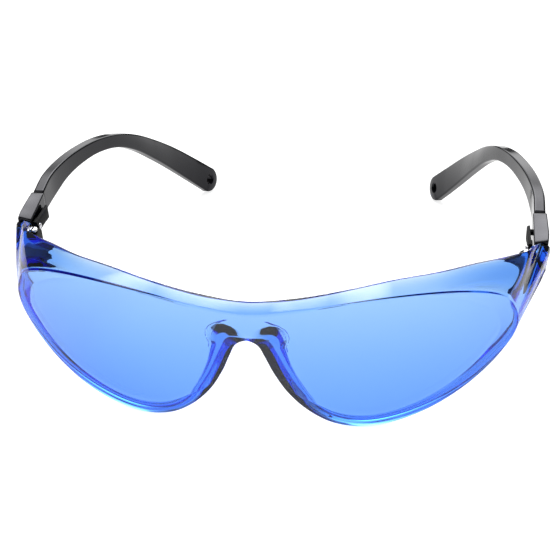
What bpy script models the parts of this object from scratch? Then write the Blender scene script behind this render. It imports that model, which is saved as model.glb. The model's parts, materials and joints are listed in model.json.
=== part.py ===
"""Safety glasses: a one-piece blue polycarbonate shield on two black telescoping temples.

Modelled as worn, in millimetres: +X to the viewer's right, +Y from the lens back to the ears, +Z up.
The temples are placed from the rear of the shield's end pieces, which is their y = 0. An empty then tips
the whole object until it rests on the lower lens rim and the two arm tips.
"""

import math

import bmesh
import bpy
from mathutils import Matrix, Vector

MM = 0.001
CLEARANCE = 0.3
CUT_PAST = 1.0

# Shield: half of the front face's outline, with the skirt that runs back from it.
# A station is (x, z, skirt dx, skirt dy, skirt dz, bow): a point of the front face's edge, the way from
# there to the skirt's rear edge, and the skirt's bulge. The half width is that of the last rim station,
# and setting it wider or narrower spreads them all.
SHIELD_HALF_WIDTH = 64.1
BROW_STATIONS = [
    (0.0, 5.1, 0.0, 2.7, 2.0, 0.0),
    (12.0, 6.7, 0.2, 3.0, 1.7, 0.0),
    (24.0, 8.4, 0.5, 3.6, 2.0, 0.0),
    (33.0, 9.0, 1.3, 5.0, 2.3, 0.2),
    (42.0, 8.6, 2.0, 7.3, 1.8, 0.3),
    (50.0, 7.1, 2.6, 10.6, 1.7, 0.5),
    (57.0, 4.3, 3.8, 13.8, 2.3, 0.8),
    (61.2, 1.2, 6.2, 19.0, 2.6, 1.0),
    (63.2, -2.3, 8.8, 25.7, 2.3, 1.2),
    (64.0, -4.9, 8.1, 25.0, 0.7, 1.2),
]
RIM_STATIONS = [
    (0.0, -2.6, 0.0, 2.3, 0.1, 0.0),
    (2.6, -3.8, 3.7, 2.8, 2.6, 0.0),
    (4.1, -6.8, 4.2, 3.0, 0.6, 0.0),
    (6.3, -12.0, 3.9, 3.7, 0.3, 0.0),
    (9.8, -18.0, 2.8, 3.9, 0.5, 0.0),
    (14.8, -23.3, 1.2, 4.0, 0.4, 0.0),
    (20.8, -27.0, 0.4, 4.0, 0.4, 0.0),
    (28.3, -28.5, 0.0, 4.0, 0.4, 0.0),
    (36.5, -27.6, -0.2, 4.0, 0.4, 0.0),
    (45.0, -24.9, -0.2, 4.0, 0.4, 0.0),
    (52.5, -21.0, 0.0, 4.0, 0.3, 0.0),
    (58.0, -16.8, 0.2, 4.1, 0.3, 0.0),
    (61.3, -13.3, 1.6, 5.1, 0.7, 0.2),
    (63.2, -10.6, 3.6, 9.0, 2.0, 0.5),
    (64.1, -7.9, 6.5, 16.8, 2.3, 0.9),
]
WIDTH_SCALE = SHIELD_HALF_WIDTH / RIM_STATIONS[-1][0]
FACE_FRONT_Y = -45.5
WRAP_SAG = 7.6
WRAP_HALF_SPAN = 43.5
WRAP_POWER = 2.55
LENS_WALL = 2.2
SKIRT_WALL = 1.8
HALF_COLUMNS = 32
FACE_ROWS = 6
SKIRT_STEPS = 4

# Hinge: a black block in each corner of the shield, forked round the temple's knuckle. Its axis lies in
# from the outside of the shield's end piece. The block is a wedge along the inside of the skirt, and its
# stations are (dy, inner dx, outer dx, bottom z, top z) from that axis.
HINGE_INSET = 5.0
HINGE_X = WIDTH_SCALE * BROW_STATIONS[-2][0] + BROW_STATIONS[-2][2] - HINGE_INSET
HINGE_Y = -2.6
KNUCKLE_RADIUS = 2.4
KNUCKLE_TOP_Z = -4.0
KNUCKLE_HEIGHT = 3.6
LUG_THICKNESS = 2.5
LUG_ROOT = 1.0
BLOCK_STATIONS = [
    (-17.4, -4.4, -3.4, -8.0, -5.2),
    (-11.4, -3.4, -0.9, -8.8, -3.6),
    (-5.4, -2.8, 1.2, -9.6, -2.0),
    (-2.8, -2.6, 2.0, -10.4, -1.2),
]
SCREW_RADIUS = 0.7
SCREW_HEAD_RADIUS = 1.3
SCREW_HEAD_HEIGHT = 0.8
SCREW_HEAD_EDGE = 0.25
ROUND_SIDES = 24

# Front half of the temple: a hollow sleeve, tallest at the hinge, with its z ranges from bottom to top.
SLEEVE_LENGTH = 12.7
SLEEVE_MIDDLE = 0.3
SLEEVE_OFFSET = 1.5
SLEEVE_INNER_X = HINGE_X + SLEEVE_OFFSET
SLEEVE_FRONT_WIDTH = 3.6
SLEEVE_MIDDLE_WIDTH = 3.9
SLEEVE_REAR_WIDTH = 3.7
SLEEVE_FRONT_Z = (-8.6, 0.2)
SLEEVE_MIDDLE_Z = (-5.6, 1.2)
SLEEVE_REAR_Z = (-3.8, 2.5)
SLEEVE_FRONT_WALL = 3.1
SLEEVE_EDGE = 0.35
LINK_WIDTH = 1.2
LINK_ROOT = 0.9

# Rear half of the temple: a curved arm whose tongue slides in the sleeve. Its path runs from the seam
# as (dx, dy, dz, height), lowest behind the ear and widest at the tip.
TONGUE_WIDTH = 1.6
TONGUE_HEIGHT = 2.4
TONGUE_TOP_Z = -0.3
TONGUE_INNER_WALL = 0.7
TONGUE_ROOT = 3.0
SLIDE_TRAVEL = 4.0
ARM_PATH = [
    (0.0, 0.0, 0.0, 6.3),
    (0.0, 8.7, 0.7, 7.2),
    (-1.2, 17.7, 1.5, 6.0),
    (-3.2, 26.7, 1.4, 5.1),
    (-6.0, 36.7, 0.2, 4.5),
    (-9.1, 46.7, -2.9, 4.4),
    (-12.1, 56.7, -8.4, 5.2),
    (-15.1, 66.7, -15.7, 6.6),
    (-18.8, 76.7, -24.1, 7.8),
    (-23.6, 85.7, -33.2, 8.5),
    (-29.7, 94.2, -43.0, 9.0),
]
ARM_THICKNESS = 3.1
ARM_CORNER = 0.9
ARM_STEPS = 26
TIP_TURNS = (15.0, 35.0, 55.0, 72.0, 84.0)
CORD_HOLE_DIAMETER = 3.0
CORD_HOLE_INSET = 4.7

# Length latch: a spring leaf along the inside of the sleeve, with a thumb pad and a tooth.
LATCH_GAP = 0.6
LATCH_THICKNESS = 0.8
LATCH_TOP_Z = -0.3
LATCH_HEIGHT = 3.6
LATCH_ROOT_Y = 1.2
LATCH_ROOT_LENGTH = 2.0
PAD_START_Y = 7.8
PAD_LENGTH = 3.2
PAD_THICKNESS = 1.2
PAD_RAMP = 0.6
TOOTH_Y = 8.6
TOOTH_LENGTH = 1.4
TOOTH_HEIGHT = 1.2
TOOTH_BITE = 0.5
RIVET_RADIUS = 0.5
RIVET_HEAD_RADIUS = 0.85
RIVET_HEAD_HEIGHT = 0.4
RIVET_HEAD_EDGE = 0.2
RIVET_GRIP = 2.2

SIDES = (("left", -1.0), ("right", 1.0))


def material(name, rgb, roughness, metallic=0.0, alpha=1.0):
    made = bpy.data.materials.new(name)
    made.use_nodes = True
    shader = made.node_tree.nodes["Principled BSDF"]
    shader.inputs["Base Color"].default_value = (*rgb, 1.0)
    shader.inputs["Roughness"].default_value = roughness
    shader.inputs["Metallic"].default_value = metallic
    shader.inputs["Alpha"].default_value = alpha
    made.diffuse_color = (*rgb, alpha)
    return made


def empty(name, place, parent=None):
    made = bpy.data.objects.new(name, None)
    made.location = Vector(place) * MM
    made.parent = parent
    bpy.context.scene.collection.objects.link(made)
    return made


def add_object(name, bm, finish, parent, origin=(0.0, 0.0, 0.0), smooth_angle=35.0):
    """Turn a bmesh in millimetres into an object whose origin lies at the given point."""
    bmesh.ops.translate(bm, verts=bm.verts, vec=-Vector(origin))
    bmesh.ops.scale(bm, verts=bm.verts, vec=(MM, MM, MM))
    bmesh.ops.recalc_face_normals(bm, faces=bm.faces)
    mesh = bpy.data.meshes.new(name)
    bm.to_mesh(mesh)
    bm.free()
    mesh.shade_smooth()
    mesh.set_sharp_from_angle(angle=math.radians(smooth_angle))
    made = bpy.data.objects.new(name, mesh)
    if finish:
        mesh.materials.append(finish)
    made.parent = parent
    bpy.context.scene.collection.objects.link(made)
    return made


def helper_object(name, bm, parent, origin):
    """A tool for a Boolean, kept out of the part itself."""
    made = add_object(name, bm, None, parent, origin)
    made.hide_render = True
    made.display_type = "WIRE"
    return made


def combine(target, tool, operation):
    boolean = target.modifiers.new(tool.name, "BOOLEAN")
    boolean.operation = operation
    boolean.object = tool


def loft(sections):
    """Close a solid over equal loops of points, with a flat cap at each end."""
    bm = bmesh.new()
    loops = [[bm.verts.new(point) for point in section] for section in sections]
    for a, b in zip(loops, loops[1:]):
        for i in range(len(a)):
            j = (i + 1) % len(a)
            bm.faces.new((a[i], a[j], b[j], b[i]))
    bm.faces.new(reversed(loops[0]))
    bm.faces.new(loops[-1])
    return bm


def box(low, high, side):
    """A block between two corners, mirrored to its side of the glasses."""
    (x0, y0, z0), (x1, y1, z1) = low, high
    corners = [(x0, y0), (x1, y0), (x1, y1), (x0, y1)]
    return prism(corners, z0, z1, side)


def prism(outline, z0, z1, side):
    return loft([[(side * x, y, z) for x, y in outline] for z in (z0, z1)])


def circle(centre, radius):
    angles = [2.0 * math.pi * i / ROUND_SIDES for i in range(ROUND_SIDES)]
    return [(centre[0] + radius * math.cos(a), centre[1] + radius * math.sin(a)) for a in angles]


def rounded_rectangle(width, height, corner):
    """Outline about the origin, anticlockwise, with three points to a corner."""
    corner = min(corner, 0.45 * width, 0.45 * height)
    points = []
    for sx, sy, turn in ((1, 1, 0.0), (-1, 1, 90.0), (-1, -1, 180.0), (1, -1, 270.0)):
        for step in (0.0, 45.0, 90.0):
            angle = math.radians(turn + step)
            x = sx * (0.5 * width - corner) + corner * math.cos(angle)
            points.append((x, sy * (0.5 * height - corner) + corner * math.sin(angle)))
    return points


def turned_rod(profile, centre, side):
    """A solid of rings up the z axis from (radius, z) pairs."""
    rings = []
    for radius, z in profile:
        rings.append([(side * x, y, z) for x, y in circle(centre, radius)])
    return loft(rings)


def cross_rod(profile, y, z, side):
    """A solid of rings along the x axis from (radius, x) pairs."""
    rings = []
    for radius, x in profile:
        rings.append([(side * x, a, b) for a, b in circle((y, z), radius)])
    return loft(rings)


def hull(points):
    """Convex outline round a set of plan points, anticlockwise."""
    ordered = sorted(set(points))
    chains = []
    for run in (ordered, ordered[::-1]):
        chain = []
        for p in run:
            while len(chain) > 1:
                (ax, ay), (bx, by) = chain[-2], chain[-1]
                if (bx - ax) * (p[1] - ay) - (by - ay) * (p[0] - ax) > 1e-9:
                    break
                chain.pop()
            chain.append(p)
        chains += chain[:-1]
    return chains


def smooth_samples(rows, at, along):
    """Every column of rows at one distance along a smooth curve through them."""
    k = 1
    while k < len(rows) - 3 and at > along[k + 1]:
        k += 1
    span = along[k + 1] - along[k]
    t = (at - along[k]) / span
    sample = []
    for p0, p1, p2, p3 in zip(*rows[k - 1 : k + 3]):
        m1 = (p2 - p0) / (along[k + 1] - along[k - 1]) * span
        m2 = (p3 - p1) / (along[k + 2] - along[k]) * span
        from_start = p1 * (2 * t**3 - 3 * t**2 + 1) + m1 * (t**3 - 2 * t**2 + t)
        sample.append(from_start + p2 * (3 * t**2 - 2 * t**3) + m2 * (t**3 - t**2))
    return sample


def distances(rows, columns):
    along = [0.0]
    for a, b in zip(rows, rows[1:]):
        along.append(along[-1] + math.dist([a[c] for c in columns], [b[c] for c in columns]))
    return along


def mirror_station(station):
    return tuple(-value if column in (0, 2) else value for column, value in enumerate(station))


def even_stations(stations, after):
    """Stations spaced evenly along one half of the outline, from the middle to the outer end."""
    drawn = [mirror_station(stations[1])] + stations + [after]
    rows = [(WIDTH_SCALE * x, *rest) for x, *rest in drawn]
    along = distances(rows, (0, 1))
    start, end = along[1], along[-2]
    steps = [start + (end - start) * i / HALF_COLUMNS for i in range(HALF_COLUMNS + 1)]
    return [smooth_samples(rows, at, along) for at in steps]


def face_y(x):
    """Front of the shield in plan: flat over the nose, wrapping back towards the temples."""
    return FACE_FRONT_Y + WRAP_SAG * (abs(x) / WRAP_HALF_SPAN) ** WRAP_POWER


def rear_y(x):
    """Rear of the lens, one wall behind the front and measured square to it."""
    slope = WRAP_POWER * WRAP_SAG / WRAP_HALF_SPAN * (abs(x) / WRAP_HALF_SPAN) ** (WRAP_POWER - 1.0)
    return face_y(x) + LENS_WALL * math.hypot(1.0, slope)


def end_piece_y():
    """Rear of the shield's end pieces, where the temples meet it."""
    x, _, _, skirt, *_ = BROW_STATIONS[-2]
    return face_y(WIDTH_SCALE * x) + skirt


def shield_ring():
    """Stations all round the front face: brow, one end, rim, other end, clockwise from the front."""
    brow = even_stations(BROW_STATIONS, RIM_STATIONS[-1])
    rim = even_stations(RIM_STATIONS, BROW_STATIONS[-1])
    end = []
    for row in range(1, FACE_ROWS):
        t = row / FACE_ROWS
        end.append([a + (b - a) * t for a, b in zip(brow[-1], rim[-1])])
    half = brow[1:] + end + rim[:0:-1]
    other_half = [mirror_station(station) for station in reversed(half)]
    return [brow[0]] + half + [rim[0]] + other_half


def shield_layers(ring):
    """Loops of points from the front edge back along the skirt, over its rim and in to the rear face."""
    layers = [[] for _ in range(2 * SKIRT_STEPS + 2)]
    for i, (x, z, dx, dy, dz, bow) in enumerate(ring):
        before, after = ring[i - 1], ring[(i + 1) % len(ring)]
        tangent = Vector((after[0] - before[0], 0.0, after[1] - before[1])).normalized()
        inward = Vector((tangent.z, 0.0, -tangent.x))
        front = Vector((x, face_y(x), z))
        rear = front + Vector((dx, dy, dz))
        rear.y = min(rear.y, end_piece_y())
        skirt = rear - front
        lean = skirt.dot(inward) / skirt.y
        wall = SKIRT_WALL * math.hypot(1.0, lean)
        inset = wall + lean * (rear_y(x) - front.y)
        inside_x = x + inset * inward.x
        inside = Vector((inside_x, rear_y(inside_x), z + inset * inward.z))
        inside_rear = rear + wall * inward
        for step in range(SKIRT_STEPS + 1):
            t = step / SKIRT_STEPS
            bulge = -inward * bow * 4.0 * t * (1.0 - t)
            layers[step].append(front.lerp(rear, t) + bulge)
            layers[-1 - step].append(inside.lerp(inside_rear, t) + bulge)
    return layers


def fill_face(bm, edge, depth):
    """Fill the inside of one loop with a grid of faces that follows the wrap of the lens."""
    n, rows = HALF_COLUMNS, FACE_ROWS
    columns = 2 * n + 1
    total = len(edge)
    top = [edge[(c - n) % total] for c in range(columns)]
    bottom = [edge[(total // 2 + n - c) % total] for c in range(columns)]
    grid = []
    for c in range(columns):
        line = [top[c]]
        for row in range(1, rows):
            if c == columns - 1:
                line.append(edge[n + row])
            elif c == 0:
                line.append(edge[total - n - row])
            else:
                point = top[c].co.lerp(bottom[c].co, row / rows)
                line.append(bm.verts.new((point.x, depth(point.x), point.z)))
        grid.append(line + [bottom[c]])
    for a, b in zip(grid, grid[1:]):
        for row in range(rows):
            bm.faces.new((a[row], b[row], b[row + 1], a[row + 1]))


def make_shield(finish, parent):
    bm = bmesh.new()
    layers = []
    for layer in shield_layers(shield_ring()):
        layers.append([bm.verts.new(point) for point in layer])
    for a, b in zip(layers, layers[1:]):
        for i in range(len(a)):
            bm.faces.new((a[i - 1], a[i], b[i], b[i - 1]))
    fill_face(bm, layers[0], face_y)
    fill_face(bm, layers[-1], rear_y)
    return add_object("lens_shield", bm, finish, parent)


def lug_levels():
    """Bottom and top of the lower lug, the knuckle and the upper lug."""
    top = KNUCKLE_TOP_Z
    bottom = top - KNUCKLE_HEIGHT
    upper = (top + CLEARANCE, top + CLEARANCE + LUG_THICKNESS)
    lower = (bottom - CLEARANCE - LUG_THICKNESS, bottom - CLEARANCE)
    return lower, (bottom, top), upper


def screw_bore(z0, z1, side):
    """The screw's clearance hole, cut past both ends."""
    radius = SCREW_RADIUS + CLEARANCE
    return turned_rod([(radius, z0 - CUT_PAST), (radius, z1 + CUT_PAST)], (HINGE_X, HINGE_Y), side)


def make_hinge_block(name, side, finish, parent):
    axis = (HINGE_X, HINGE_Y)
    origin = (side * HINGE_X, HINGE_Y, 0.0)
    lower, _, upper = lug_levels()
    sections = []
    for dy, dx0, dx1, z0, z1 in BLOCK_STATIONS:
        x0, x1, y = side * (HINGE_X + dx0), side * (HINGE_X + dx1), HINGE_Y + dy
        sections.append([(x0, y, z0), (x1, y, z0), (x1, y, z1), (x0, y, z1)])
    block = add_object(name, loft(sections), finish, parent, origin)
    dy, dx0, dx1, *_ = BLOCK_STATIONS[-1]
    back = [(HINGE_X + dx, HINGE_Y + dy - root) for dx in (dx0, dx1) for root in (0.0, LUG_ROOT)]
    lug = hull(back + circle(axis, KNUCKLE_RADIUS))
    for level, (z0, z1) in (("lower", lower), ("upper", upper)):
        tool = helper_object(f"{name}_{level}_lug", prism(lug, z0, z1, side), parent, origin)
        combine(block, tool, "UNION")
    bore = screw_bore(lower[0], upper[1], side)
    combine(block, helper_object(f"{name}_bore", bore, parent, origin), "DIFFERENCE")
    return block


def make_hinge_screw(name, side, finish, parent):
    lower, _, upper = lug_levels()
    seat = upper[1] + CLEARANCE
    crown = seat + SCREW_HEAD_HEIGHT
    profile = [
        (SCREW_RADIUS, lower[0]),
        (SCREW_RADIUS, seat),
        (SCREW_HEAD_RADIUS, seat),
        (SCREW_HEAD_RADIUS, crown - SCREW_HEAD_EDGE),
        (SCREW_HEAD_RADIUS - SCREW_HEAD_EDGE, crown),
    ]
    bm = turned_rod(profile, (HINGE_X, HINGE_Y), side)
    return add_object(name, bm, finish, parent, (side * HINGE_X, HINGE_Y, 0.0))


def sleeve_rear_y():
    return CLEARANCE + SLEEVE_LENGTH


def tongue_box():
    """Corners of the arm's tongue at rest, inside the sleeve."""
    x0 = SLEEVE_INNER_X + TONGUE_INNER_WALL + CLEARANCE
    y0 = CLEARANCE + SLEEVE_FRONT_WALL + CLEARANCE
    low = (x0, y0, TONGUE_TOP_Z - TONGUE_HEIGHT)
    high = (x0 + TONGUE_WIDTH, sleeve_rear_y() + TONGUE_ROOT, TONGUE_TOP_Z)
    return low, high


def grow(corners, by):
    low, high = corners
    return tuple(v - by for v in low), tuple(v + by for v in high)


def tooth_box():
    """Corners of the latch's tooth, through the sleeve wall and into the tongue's slot."""
    x0 = SLEEVE_INNER_X - LATCH_GAP - 0.5 * LATCH_THICKNESS
    x1 = SLEEVE_INNER_X + TONGUE_INNER_WALL + CLEARANCE + TOOTH_BITE
    z1 = TONGUE_TOP_Z - 0.5 * (TONGUE_HEIGHT - TOOTH_HEIGHT)
    return (x0, TOOTH_Y, z1 - TOOTH_HEIGHT), (x1, TOOTH_Y + TOOTH_LENGTH, z1)


def rivet_place():
    return LATCH_ROOT_Y + 0.5 * LATCH_ROOT_LENGTH, LATCH_TOP_Z - 0.5 * LATCH_HEIGHT


def rivet_end():
    return SLEEVE_INNER_X + RIVET_GRIP


def rivet_hole(x0, x1, side):
    """The rivet's clearance hole, from one x to another."""
    radius = RIVET_RADIUS + CLEARANCE
    return cross_rod([(radius, x0), (radius, x1)], *rivet_place(), side)


def make_sleeve(name, side, finish, parent):
    origin = (side * HINGE_X, HINGE_Y, 0.0)
    stations = [
        (CLEARANCE, SLEEVE_FRONT_WIDTH, SLEEVE_FRONT_Z),
        (CLEARANCE + SLEEVE_MIDDLE * SLEEVE_LENGTH, SLEEVE_MIDDLE_WIDTH, SLEEVE_MIDDLE_Z),
        (sleeve_rear_y(), SLEEVE_REAR_WIDTH, SLEEVE_REAR_Z),
    ]
    sections = []
    for y, width, (z0, z1) in stations:
        outline = rounded_rectangle(width, z1 - z0, SLEEVE_EDGE)
        middle_x, middle_z = SLEEVE_INNER_X + 0.5 * width, 0.5 * (z0 + z1)
        sections.append([(side * (middle_x + u), y, middle_z + v) for u, v in outline])
    sleeve = add_object(name, loft(sections), finish, parent, origin)

    _, (z0, z1), _ = lug_levels()
    root_x, root_y = SLEEVE_INNER_X + SLEEVE_EDGE, CLEARANCE + LINK_ROOT
    root = [(root_x, root_y), (root_x + LINK_WIDTH, root_y)]
    link = hull(circle((HINGE_X, HINGE_Y), KNUCKLE_RADIUS) + root)
    combine(sleeve, helper_object(f"{name}_knuckle", prism(link, z0, z1, side), parent, origin), "UNION")

    bore = screw_bore(z0, z1, side)
    combine(sleeve, helper_object(f"{name}_bore", bore, parent, origin), "DIFFERENCE")
    cavity = box(*grow(tongue_box(), CLEARANCE), side)
    combine(sleeve, helper_object(f"{name}_cavity", cavity, parent, origin), "DIFFERENCE")
    window = box(*grow(tooth_box(), CLEARANCE), side)
    combine(sleeve, helper_object(f"{name}_window", window, parent, origin), "DIFFERENCE")
    hole = rivet_hole(SLEEVE_INNER_X - CUT_PAST, rivet_end() + CLEARANCE, side)
    combine(sleeve, helper_object(f"{name}_rivet_hole", hole, parent, origin), "DIFFERENCE")
    return sleeve


def make_latch(name, side, finish, parent):
    origin = (side * HINGE_X, HINGE_Y, 0.0)
    outer = SLEEVE_INNER_X - LATCH_GAP
    near = SLEEVE_INNER_X - CLEARANCE
    inner = outer - LATCH_THICKNESS
    root_end = LATCH_ROOT_Y + LATCH_ROOT_LENGTH
    pad_end = PAD_START_Y + PAD_LENGTH
    pad_inner = near - PAD_THICKNESS
    outline = [
        (inner, LATCH_ROOT_Y),
        (near, LATCH_ROOT_Y),
        (near, root_end),
        (outer, root_end + CLEARANCE),
        (outer, PAD_START_Y),
        (outer, pad_end),
        (outer - 0.5 * LATCH_THICKNESS, pad_end),
        (pad_inner, pad_end - PAD_RAMP),
        (pad_inner, PAD_START_Y + PAD_RAMP),
        (inner, PAD_START_Y),
        (inner, root_end),
    ]
    leaf = prism(outline, LATCH_TOP_Z - LATCH_HEIGHT, LATCH_TOP_Z, side)
    latch = add_object(name, leaf, finish, parent, origin)
    tooth = helper_object(f"{name}_tooth", box(*tooth_box(), side), parent, origin)
    combine(latch, tooth, "UNION")
    hole = rivet_hole(inner - CUT_PAST, near + CUT_PAST, side)
    combine(latch, helper_object(f"{name}_rivet_hole", hole, parent, origin), "DIFFERENCE")
    return latch


def make_rivet(name, side, finish, parent):
    seat = SLEEVE_INNER_X - LATCH_GAP - LATCH_THICKNESS - CLEARANCE
    crown = seat - RIVET_HEAD_HEIGHT
    profile = [
        (RIVET_HEAD_RADIUS - RIVET_HEAD_EDGE, crown),
        (RIVET_HEAD_RADIUS, crown + RIVET_HEAD_EDGE),
        (RIVET_HEAD_RADIUS, seat),
        (RIVET_RADIUS, seat),
        (RIVET_RADIUS, rivet_end()),
    ]
    bm = cross_rod(profile, *rivet_place(), side)
    return add_object(name, bm, finish, parent, (side * HINGE_X, HINGE_Y, 0.0))


def seam_centre():
    """Middle of the arm where it meets the rear of the sleeve."""
    x = SLEEVE_INNER_X + 0.5 * SLEEVE_REAR_WIDTH
    return Vector((x, sleeve_rear_y() + CLEARANCE, 0.5 * sum(SLEEVE_REAR_Z)))


def arm_frames():
    """Centre, height direction, thickness direction, height and length left, at even steps."""
    path = []
    for dx, dy, dz, height in ARM_PATH:
        path.append((*(seam_centre() + Vector((dx, dy, dz))), height))
    before = [2 * a - b for a, b in zip(path[0], path[1])]
    after = [2 * a - b for a, b in zip(path[-1], path[-2])]
    rows = [before] + path + [after]
    along = distances(rows, (0, 1, 2))
    start, end = along[1], along[-2]
    steps = [start + (end - start) * i / ARM_STEPS for i in range(ARM_STEPS + 1)]
    samples = [smooth_samples(rows, at, along) for at in steps]
    centres = [Vector(sample[:3]) for sample in samples]
    frames = []
    for i, centre in enumerate(centres):
        if i == 0:
            tangent = Vector((0.0, 1.0, 0.0))
        else:
            tangent = (centres[min(i + 1, ARM_STEPS)] - centres[i - 1]).normalized()
        across = tangent.cross(Vector((0.0, 0.0, 1.0))).normalized()
        up = across.cross(tangent).normalized()
        frames.append((centre, up, across, samples[i][3], (end - start) * (1.0 - i / ARM_STEPS)))
    return frames


def arm_section(centre, up, across, height, side):
    """Outline of the arm at one place on its path."""
    points = []
    for u, v in rounded_rectangle(ARM_THICKNESS, height, ARM_CORNER):
        point = centre + across * u + up * v
        points.append((side * point.x, point.y, point.z))
    return points


def make_arm(name, side, finish, parent):
    origin = (side * seam_centre().x, seam_centre().y, seam_centre().z)
    frames = arm_frames()
    tip, up, across, tip_height, _ = frames[-1]
    along = up.cross(across).normalized()
    sections = []
    for centre, frame_up, frame_across, height, left in frames:
        if left > 0.5 * tip_height:
            sections.append(arm_section(centre, frame_up, frame_across, height, side))
    for turn in TIP_TURNS:
        angle = math.radians(turn)
        centre = tip - along * 0.5 * tip_height * (1.0 - math.sin(angle))
        sections.append(arm_section(centre, up, across, tip_height * math.cos(angle), side))
    arm = add_object(name, loft(sections), finish, parent, origin)

    tongue = helper_object(f"{name}_tongue", box(*tongue_box(), side), parent, origin)
    combine(arm, tongue, "UNION")
    (x0, y0, z0), (x1, y1, z1) = grow(tooth_box(), CLEARANCE)
    slot = box((x0, y0 - SLIDE_TRAVEL, z0), (x1, y1, z1), side)
    combine(arm, helper_object(f"{name}_slot", slot, parent, origin), "DIFFERENCE")

    middle = tip - along * CORD_HOLE_INSET
    rings = []
    for reach in (-ARM_THICKNESS, ARM_THICKNESS):
        ring = []
        for u, v in circle((0.0, 0.0), 0.5 * CORD_HOLE_DIAMETER):
            point = middle + across * reach + up * u + along * v
            ring.append((side * point.x, point.y, point.z))
        rings.append(ring)
    combine(arm, helper_object(f"{name}_cord_hole", loft(rings), parent, origin), "DIFFERENCE")
    return arm


def turned_points(objects, tilt):
    """Points of unrotated objects, in metres, once the glasses are tipped about X."""
    turn = Matrix.Rotation(tilt, 3, "X")
    points = []
    for item in objects:
        offset = item.matrix_world.translation
        points += [turn @ (vertex.co + offset) for vertex in item.data.vertices]
    return points


def resting_pose(shield, arms):
    """Tilt that sets the lens rim and arm tips on one level, and the move that centres them there."""
    low, high = math.radians(-30.0), math.radians(30.0)
    for _ in range(40):
        tilt = 0.5 * (low + high)
        rim = min(point.z for point in turned_points([shield], tilt))
        tips = min(point.z for point in turned_points(arms, tilt))
        if tips < rim:
            low = tilt
        else:
            high = tilt
    depths = [point.y for point in turned_points([shield, *arms], tilt)]
    return tilt, Vector((0.0, -0.5 * (min(depths) + max(depths)), -rim))


def build():
    for item in list(bpy.data.objects):
        bpy.data.objects.remove(item, do_unlink=True)

    blue = material("blue polycarbonate", (0.10, 0.36, 0.95), 0.05, alpha=0.55)
    black = material("black nylon", (0.012, 0.013, 0.016), 0.25)
    steel = material("nickel steel", (0.62, 0.62, 0.64), 0.3, metallic=1.0)

    glasses = empty("glasses", (0.0, 0.0, 0.0))
    shield = make_shield(blue, glasses)
    arms = []
    for word, side in SIDES:
        hinge = empty(f"{word}_hinge", (side * HINGE_X, end_piece_y() + HINGE_Y, 0.0), glasses)
        make_hinge_block(f"{word}_hinge_block", side, black, hinge)
        make_hinge_screw(f"{word}_hinge_screw", side, steel, hinge)
        make_sleeve(f"{word}_temple_sleeve", side, black, hinge)
        make_latch(f"{word}_length_latch", side, black, hinge)
        make_rivet(f"{word}_latch_rivet", side, steel, hinge)
        seam = seam_centre()
        slide = empty(f"{word}_slide", (side * (seam.x - HINGE_X), seam.y - HINGE_Y, seam.z), hinge)
        arms.append(make_arm(f"{word}_temple_arm", side, black, slide))
    bpy.context.view_layer.update()
    tilt, move = resting_pose(shield, arms)
    glasses.rotation_euler.x = tilt
    glasses.location = move
    bpy.context.view_layer.update()


build()
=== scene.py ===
"""Looks of the safety glasses: a clear blue one-piece shield on glossy black telescoping temples.

Shapes are drawn as worn, in millimetres: +X to the viewer's right, +Y from the lens back to the ears
and +Z up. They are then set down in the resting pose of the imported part.
"""

import json
import math

import bmesh
import bpy
import numpy as np
from mathutils import Matrix, Vector


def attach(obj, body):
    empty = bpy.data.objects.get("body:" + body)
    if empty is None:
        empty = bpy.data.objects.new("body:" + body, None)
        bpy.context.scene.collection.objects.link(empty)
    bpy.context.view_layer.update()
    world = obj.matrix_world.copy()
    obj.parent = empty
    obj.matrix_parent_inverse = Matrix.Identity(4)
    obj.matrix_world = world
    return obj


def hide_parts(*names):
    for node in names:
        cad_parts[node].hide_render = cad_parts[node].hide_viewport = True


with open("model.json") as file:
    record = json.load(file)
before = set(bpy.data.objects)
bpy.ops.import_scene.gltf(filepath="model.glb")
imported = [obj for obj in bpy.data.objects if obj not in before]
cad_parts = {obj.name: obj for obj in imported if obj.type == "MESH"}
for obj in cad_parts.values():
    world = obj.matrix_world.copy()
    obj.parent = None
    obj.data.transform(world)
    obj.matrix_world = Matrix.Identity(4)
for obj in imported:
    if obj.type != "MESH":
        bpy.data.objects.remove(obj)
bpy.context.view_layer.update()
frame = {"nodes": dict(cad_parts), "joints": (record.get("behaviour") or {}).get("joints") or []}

# Shield.
# One clear blue polycarbonate moulding: two lenses, the bridge, the brow and the end pieces that hold
# the temples. The mould leaves its edges slightly round, and these draw the fine lines along it.
MM = 0.001
# The front in plan: where it lies over the nose, and how far it has wrapped back at this half span.
FACE_FRONT_Y = -45.5
WRAP_SAG = 7.6
WRAP_HALF_SPAN = 43.5
WRAP_POWER = 2.55
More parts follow.
